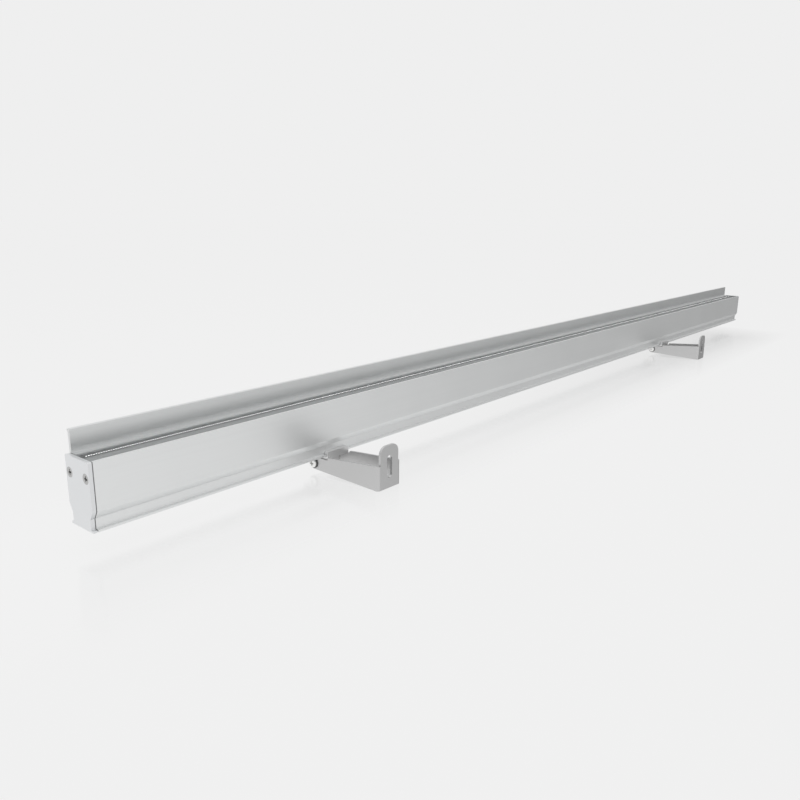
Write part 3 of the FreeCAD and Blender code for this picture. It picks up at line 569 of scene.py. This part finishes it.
def pivot_bolt(side, settings):
    """A pan head bolt where the frame has one. Its face has a parabola as dome, a cross recess and
    a quarter ellipse as rim. The threaded end's radius falls by a triangle wave of x / pitch less
    the share of a turn."""
    low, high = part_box(side + "_pivot_bolt")
    head_radius, end = (high.z - low.z) / 2.0, high.x - low.x
    head, neck = settings.pivot_head, settings.pivot_radius
    turn = np.linspace(0.0, math.pi / 2.0, HEAD_RIM_RINGS)[1:]
    flat = np.linspace(0.0, HEAD_FLAT, HEAD_FLAT_RINGS)
    rim = HEAD_FLAT + (1.0 - HEAD_FLAT) * np.sin(turn)
    dome = HEAD_DOME * head * (flat / HEAD_FLAT) ** 2
    rise = HEAD_RISE * head * (1.0 - np.cos(turn))
    face_radii = np.concatenate([flat, rim]) * head_radius
    thread = np.linspace(end - THREAD_LENGTH, end, THREAD_RINGS)
    under_head = [head_radius, neck, neck]
    shank = np.full(THREAD_RINGS, neck)
    radii = np.concatenate([face_radii, under_head, shank, [0.0]])
    heights = np.concatenate([dome, dome[-1] + rise, [head, head, thread[0]], thread, [end]])
    points, faces = recessed(heights, radii, len(face_radii), settings)
    turned = np.linspace(0.0, 1.0, SCREW_SIDES, endpoint=False)[None, :]
    wave = np.abs((thread[:, None] / settings.thread_pitch - turned) % 1.0 - 0.5) * 2.0
    first = len(face_radii) + len(under_head)
    grid = points.reshape(len(radii), SCREW_SIDES, 3)
    narrowing = 1.0 - wave * settings.thread_depth / neck
    grid[first : first + THREAD_RINGS, :, 1:] *= narrowing[:, :, None]
    place = np.array([low.x, (low.y + high.y) / 2.0, low.z + head_radius])
    points = grid.reshape(-1, 3) + place
    return without_spares(points, outward(points, faces))


# --- operators ---


def finish(material, *names):
    """Gives CAD nodes a material."""
    for name in names:
        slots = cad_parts[name].data.materials
        slots.clear()
        slots.append(material)


class WASHER_OT_aluminium(bpy.types.Operator):
    """Finishes the extrusions, end caps, arms and clips"""

    bl_idname = "washer.aluminium"
    bl_label = "Aluminium"

    def execute(self, context):
        metal = context.scene.washer_metal
        satin, sheet_satin = metal.profile_roughness, metal.sheet_roughness
        profile = extruded_aluminium("anodised_profile", metal.profile, satin, PROFILE_METALLIC)
        # The visor's material is a darker copy of the profile's aluminium: painted shade.
        visor = extruded_aluminium(
            "anodised_visor_painted_shade", metal.visor, metal.visor_roughness, VISOR_METALLIC
        )
        # The clips are a lighter copy of the arms' sheet: painted light.
        clip_painted_light_colour = shaded(metal.sheet, CLIP_PAINTED_LIGHT)
        finish(profile, "housing")
        finish(visor, "visor")
        finish(cap_aluminium("anodised_cap", metal.cap, satin), "end_cap_near", "end_cap_far")
        sheet = blasted_aluminium("satin_sheet", metal.sheet, sheet_satin)
        finish(sheet, "near_wall_arm", "far_wall_arm")
        clips = blasted_aluminium("satin_clips_painted_light", clip_painted_light_colour, sheet_satin)
        finish(clips, "near_rail_clip", "far_rail_clip")
        return {"FINISHED"}


class WASHER_OT_light_engine(bpy.types.Operator):
    """Finishes cover, sealant, LED board and tape, and lays the row of light points"""

    bl_idname = "washer.light_engine"
    bl_label = "Light engine"

    def execute(self, context):
        lights = context.scene.washer_lights
        finish(clear_cover("clear_cover"), "cover")
        finish(soft_rubber("grey_sealant", lights.sealant), "cover_sealant")
        # The board's grey is partly painted shade of the channel under the cover.
        board = circuit_board("board_tone_and_painted_shade", lights.board, shaded(lights.board, BOARD_SHADE))
        finish(board, "led_board")
        finish(moulded_plastic("tape_film", (0.55, 0.55, 0.58), 0.5), "thermal_tape")
        # The LED line is a darker copy of the lens silicone: painted shade.
        line = milky_silicone("line_silicone", shaded(lights.bead, LINE_PAINTED_SHADE), 0.0)
        finish(line, "led_line")
        # The lenses glow by emission: a painted glint.
        lens = milky_silicone("lens_silicone_painted_glint", lights.bead, LENS_PAINTED_GLINT)
        beads = mesh_piece("light_points", *light_beads(lights), lens)
        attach(beads, "bar")
        return {"FINISHED"}


class WASHER_OT_regulator(bpy.types.Operator):
    """Finishes the regulator and its leads inside the housing"""

    bl_idname = "washer.regulator"
    bl_label = "Regulator"

    def execute(self, context):
        finish(moulded_plastic("tray_plastic", (0.05, 0.05, 0.05), 0.45), "driver_tray")
        finish(circuit_board("green_board", (0.02, 0.16, 0.07), (0.03, 0.24, 0.10)), "driver_board")
        black = moulded_plastic("component_black", (0.03, 0.03, 0.03), 0.4)
        finish(black, "driver_inductor", "driver_chips", "driver_fuse")
        finish(moulded_plastic("film_yellow", (0.62, 0.42, 0.04), 0.3), "driver_capacitors")
        finish(moulded_plastic("terminal_green", (0.05, 0.22, 0.09), 0.35), "supply_terminal")
        finish(moulded_plastic("lever_orange", (0.70, 0.18, 0.02), 0.3), "terminal_levers")
        finish(moulded_plastic("lead_red", (0.45, 0.03, 0.02), 0.35), "led_leads")
        return {"FINISHED"}


class WASHER_OT_seals(bpy.types.Operator):
    """Finishes gaskets, liners and the cable inlet"""

    bl_idname = "washer.seals"
    bl_label = "Seals and inlet"

    def execute(self, context):
        finish(soft_rubber("gasket_rubber", (0.20, 0.20, 0.203)), "end_gaskets", "gland_seal")
        finish(soft_rubber("liner_rubber", (0.04, 0.04, 0.04)), "near_clip_liner", "far_clip_liner")
        finish(moulded_plastic("gland_nylon", (0.03, 0.03, 0.032), 0.4), "cable_gland", "gland_nut")
        return {"FINISHED"}


class WASHER_OT_end_screws(bpy.types.Operator):
    """Puts recessed screws in the place of the plain ones of the end caps"""

    bl_idname = "washer.end_screws"
    bl_label = "End screws"

    def execute(self, context):
        metal, settings = context.scene.washer_metal, context.scene.washer_screws
        # The end screws take a darker copy of the bolts' steel: painted shade.
        grey, polish = shaded(metal.steel, END_SCREW_PAINTED_SHADE), metal.steel_roughness + 0.08
        steel = turned_steel("end_screw_steel_painted_shade", grey, polish)
        screws = mesh_piece("recessed_end_screws", *end_screws(settings), steel)
        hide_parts("end_screws")
        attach(screws, "bar")
        return {"FINISHED"}


class WASHER_OT_pivots(bpy.types.Operator):
    """Puts threaded bolts in the place of the plain ones, and finishes washers and nuts"""

    bl_idname = "washer.pivots"
    bl_label = "Pivots"

    def execute(self, context):
        metal, settings = context.scene.washer_metal, context.scene.washer_screws
        steel = turned_steel("pivot_steel", metal.steel, metal.steel_roughness)
        dark = turned_steel("black_washer", metal.dark_steel, 0.4)
        nylon = moulded_plastic("friction_nylon", (0.70, 0.70, 0.66), 0.35)
        for side in ("near", "far"):
            bolt = mesh_piece(side + "_pan_head_bolt", *pivot_bolt(side, settings), steel)
            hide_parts(side + "_pivot_bolt")
            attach(bolt, side + "_arm")
            finish(dark, side + "_pivot_washers")
            finish(nylon, side + "_friction_washers")
            finish(steel, side + "_pivot_nut")
        return {"FINISHED"}


# --- stage ---

SKY = 0.95
FLOOR_SIZE = 24.0
FLOOR_GAP = 0.2 * MM
FLOOR_LIT = 0.02
FLOOR_ROUGHNESS = 0.16
SENSOR_WIDTH = 36.0
CLIP_START = 10.0 * MM
LAMP_SIZE = 0.9

# Where the mirrored background darkens: the X of a direction from which it does, and the Z over
# and under the horizon.
DIMMING = 0.42
DIM_START = 0.3
DIM_OVER = 0.4
DIM_UNDER = 0.35

# The floor's mirror: its bounds on Y and X, the width of its edge, its strength at the near wall
# slot and what a metre along X adds.
MIRROR_FRONT = -0.035
MIRROR_BACK = 0.150
MIRROR_FAR = 0.850
MIRROR_FADE = 0.050
MIRROR_SHARE = 0.15
MIRROR_GROWTH = 0.30


def floor_piece(size, height, material):
    """A square of floor: point (i, j) of a 2 by 2 grid at plus or minus half the size."""
    across, along = np.meshgrid([-0.5, 0.5], [-0.5, 0.5])
    flat = [across.ravel() * size, along.ravel() * size, np.full(across.size, height)]
    points = np.stack(flat, axis=-1)
    return mesh_piece("floor", points, np.array([[0, 1, 3, 2]]), material)


def floor_material(background):
    """Pale floor: the background's own light, with a little of the lit floor. Round the object's
    foot it mirrors faintly, the more the larger X is, and this fades out at its three bounds."""
    recipe = new_recipe("pale_floor")
    coordinates = recipe.add("ShaderNodeTexCoord", output="Object")
    x = recipe.add("ShaderNodeSeparateXYZ", inputs={"Vector": coordinates}, output="X")
    y = x.other("Y")
    strength = (MIRROR_SHARE + x * MIRROR_GROWTH).clamped()
    front = ((y - MIRROR_FRONT) / MIRROR_FADE).clamped()
    behind = ((MIRROR_BACK - y) / MIRROR_FADE).clamped()
    beside = ((MIRROR_FAR - x) / (2.0 * MIRROR_FADE)).clamped()
    mirror = front * behind * beside * strength
    pale_colour = (*background, 1.0)
    plain = recipe.add("ShaderNodeEmission", inputs={"Color": pale_colour, "Strength": 1.0})
    lit = recipe.add("ShaderNodeBsdfDiffuse", inputs={"Color": pale_colour})
    polish = {"Color": WHITE, "Roughness": FLOOR_ROUGHNESS}
    gloss = recipe.add("ShaderNodeBsdfGlossy", inputs=polish)
    pale = recipe.add("ShaderNodeMixShader", inputs={0: FLOOR_LIT, 1: plain, 2: lit})
    both = recipe.add("ShaderNodeMixShader", inputs={0: mirror, 1: pale, 2: gloss})
    recipe.add("ShaderNodeOutputMaterial", inputs={"Surface": both})
    return recipe.owner


def studio_world(background):
    """Pale background for the camera, in mirrors and through glass. What scatters light is lit by
    an even sky. In mirrors the background is as bright as that sky, and darkens towards +X: fully
    from the horizon down to DIM_UNDER, less up to DIM_OVER and down to twice DIM_UNDER. A Mix node
    has its numbers at the sockets 2 and 3."""
    grey = background[0]
    world = bpy.data.worlds.new("studio")
    bpy.context.scene.world = world
    recipe = Recipe(world)
    direction = recipe.add("ShaderNodeTexCoord", output="Generated")
    x = recipe.add("ShaderNodeSeparateXYZ", inputs={"Vector": direction})
    z = x.other("Z")
    mirrored = recipe.add("ShaderNodeLightPath", output="Is Glossy Ray")
    seen = mirrored + mirrored.other("Is Camera Ray") + mirrored.other("Is Transmission Ray")
    far_side = ((x - DIM_START) / (1.0 - DIM_START)).clamped()
    low = (1.0 - z / DIM_OVER).clamped() * (2.0 + z / DIM_UNDER).clamped()
    dimming = (far_side + far_side**6.0) * low * DIMMING
    shown = grey + mirrored * (SKY - grey - dimming)
    levels = {0: seen.clamped(), 2: SKY, 3: shown}
    level = recipe.add("ShaderNodeMix", {"data_type": "FLOAT"}, levels)
    shade = recipe.add("ShaderNodeBackground", inputs={"Color": WHITE, "Strength": level})
    recipe.add("ShaderNodeOutputWorld", inputs={"Surface": shade})


def soft_lamp(name, place, target, power):
    """A square area lamp aimed at a point. It lights what scatters light and isn't mirrored."""
    data = bpy.data.lights.new(name, "AREA")
    data.shape = "SQUARE"
    data.size = LAMP_SIZE
    data.energy = power
    lamp = bpy.data.objects.new(name, data)
    aim = (Vector(target) - Vector(place)).to_track_quat("-Z", "Y")
    lamp.matrix_world = Matrix.Translation(place) @ aim.to_matrix().to_4x4()
    lamp.visible_glossy = False
    bpy.context.scene.collection.objects.link(lamp)


def place_camera(stage):
    """The camera from its place, heading, slope and roll: it looks along (cos yaw cos pitch,
    sin yaw cos pitch, -sin pitch), and its right and up are turned by the roll about that line."""
    heading = Vector((math.cos(stage.yaw), math.sin(stage.yaw), 0.0))
    forward = heading * math.cos(stage.pitch) - Vector((0.0, 0.0, math.sin(stage.pitch)))
    right = Vector((math.sin(stage.yaw), -math.cos(stage.yaw), 0.0))
    up = right.cross(forward)
    turned_right = right * math.cos(stage.roll) + up * math.sin(stage.roll)
    turned_up = up * math.cos(stage.roll) - right * math.sin(stage.roll)
    data = bpy.data.cameras.new("camera")
    data.lens = stage.lens
    data.sensor_width = SENSOR_WIDTH
    data.clip_start = CLIP_START
    camera = bpy.data.objects.new("camera", data)
    turn = Matrix((turned_right, turned_up, -forward)).transposed().to_4x4()
    place = (stage.camera_x, stage.camera_y, stage.camera_z)
    camera.matrix_world = Matrix.Translation(place) @ turn
    bpy.context.scene.collection.objects.link(camera)
    bpy.context.scene.camera = camera


class WASHER_OT_stage(bpy.types.Operator):
    """Sets camera, floor, background and lamps"""

    bl_idname = "washer.stage"
    bl_label = "Stage"

    def execute(self, context):
        stage = context.scene.washer_stage
        context.scene.view_settings.view_transform = "Standard"
        place_camera(stage)
        floor_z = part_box("near_wall_arm")[0].z - FLOOR_GAP
        floor = floor_piece(FLOOR_SIZE, floor_z, floor_material(stage.background))
        floor.visible_glossy = False
        studio_world(stage.background)
        soft_lamp("key", place=(-0.9, -0.8, 1.3), target=(0.1, 0.03, 0.0), power=4.0)
        soft_lamp("top", place=(-0.1, 0.1, 0.95), target=(0.0, 0.05, 0.0), power=7.0)
        return {"FINISHED"}


class WASHER_PT_panel(bpy.types.Panel):
    """Lists the pieces of the wall washer light"""

    bl_label = "Wall Washer"
    bl_idname = "WASHER_PT_panel"
    bl_space_type = "VIEW_3D"
    bl_region_type = "UI"
    bl_category = "Wall Washer"

    def draw(self, context):
        for operator in OPERATORS:
            self.layout.operator(operator.bl_idname)


SETTINGS = {
    "washer_metal": MetalSettings,
    "washer_lights": LightSettings,
    "washer_screws": ScrewSettings,
    "washer_stage": StageSettings,
}
OPERATORS = (
    WASHER_OT_stage,
    WASHER_OT_aluminium,
    WASHER_OT_light_engine,
    WASHER_OT_regulator,
    WASHER_OT_seals,
    WASHER_OT_end_screws,
    WASHER_OT_pivots,
)


def register():
    """Registers the classes and hangs the settings on the scene."""
    for kind in (*SETTINGS.values(), *OPERATORS, WASHER_PT_panel):
        bpy.utils.register_class(kind)
    for name, kind in SETTINGS.items():
        setattr(bpy.types.Scene, name, bpy.props.PointerProperty(type=kind))


def unregister():
    """Takes the settings and classes away again."""
    for name in SETTINGS:
        delattr(bpy.types.Scene, name)
    for kind in (WASHER_PT_panel, *reversed(OPERATORS), *reversed(SETTINGS.values())):
        bpy.utils.unregister_class(kind)


def main():
    register()
    for operator in OPERATORS:
        group, name = operator.bl_idname.split(".")
        getattr(getattr(bpy.ops, group), name)()


if __name__ == "__main__":
    main()
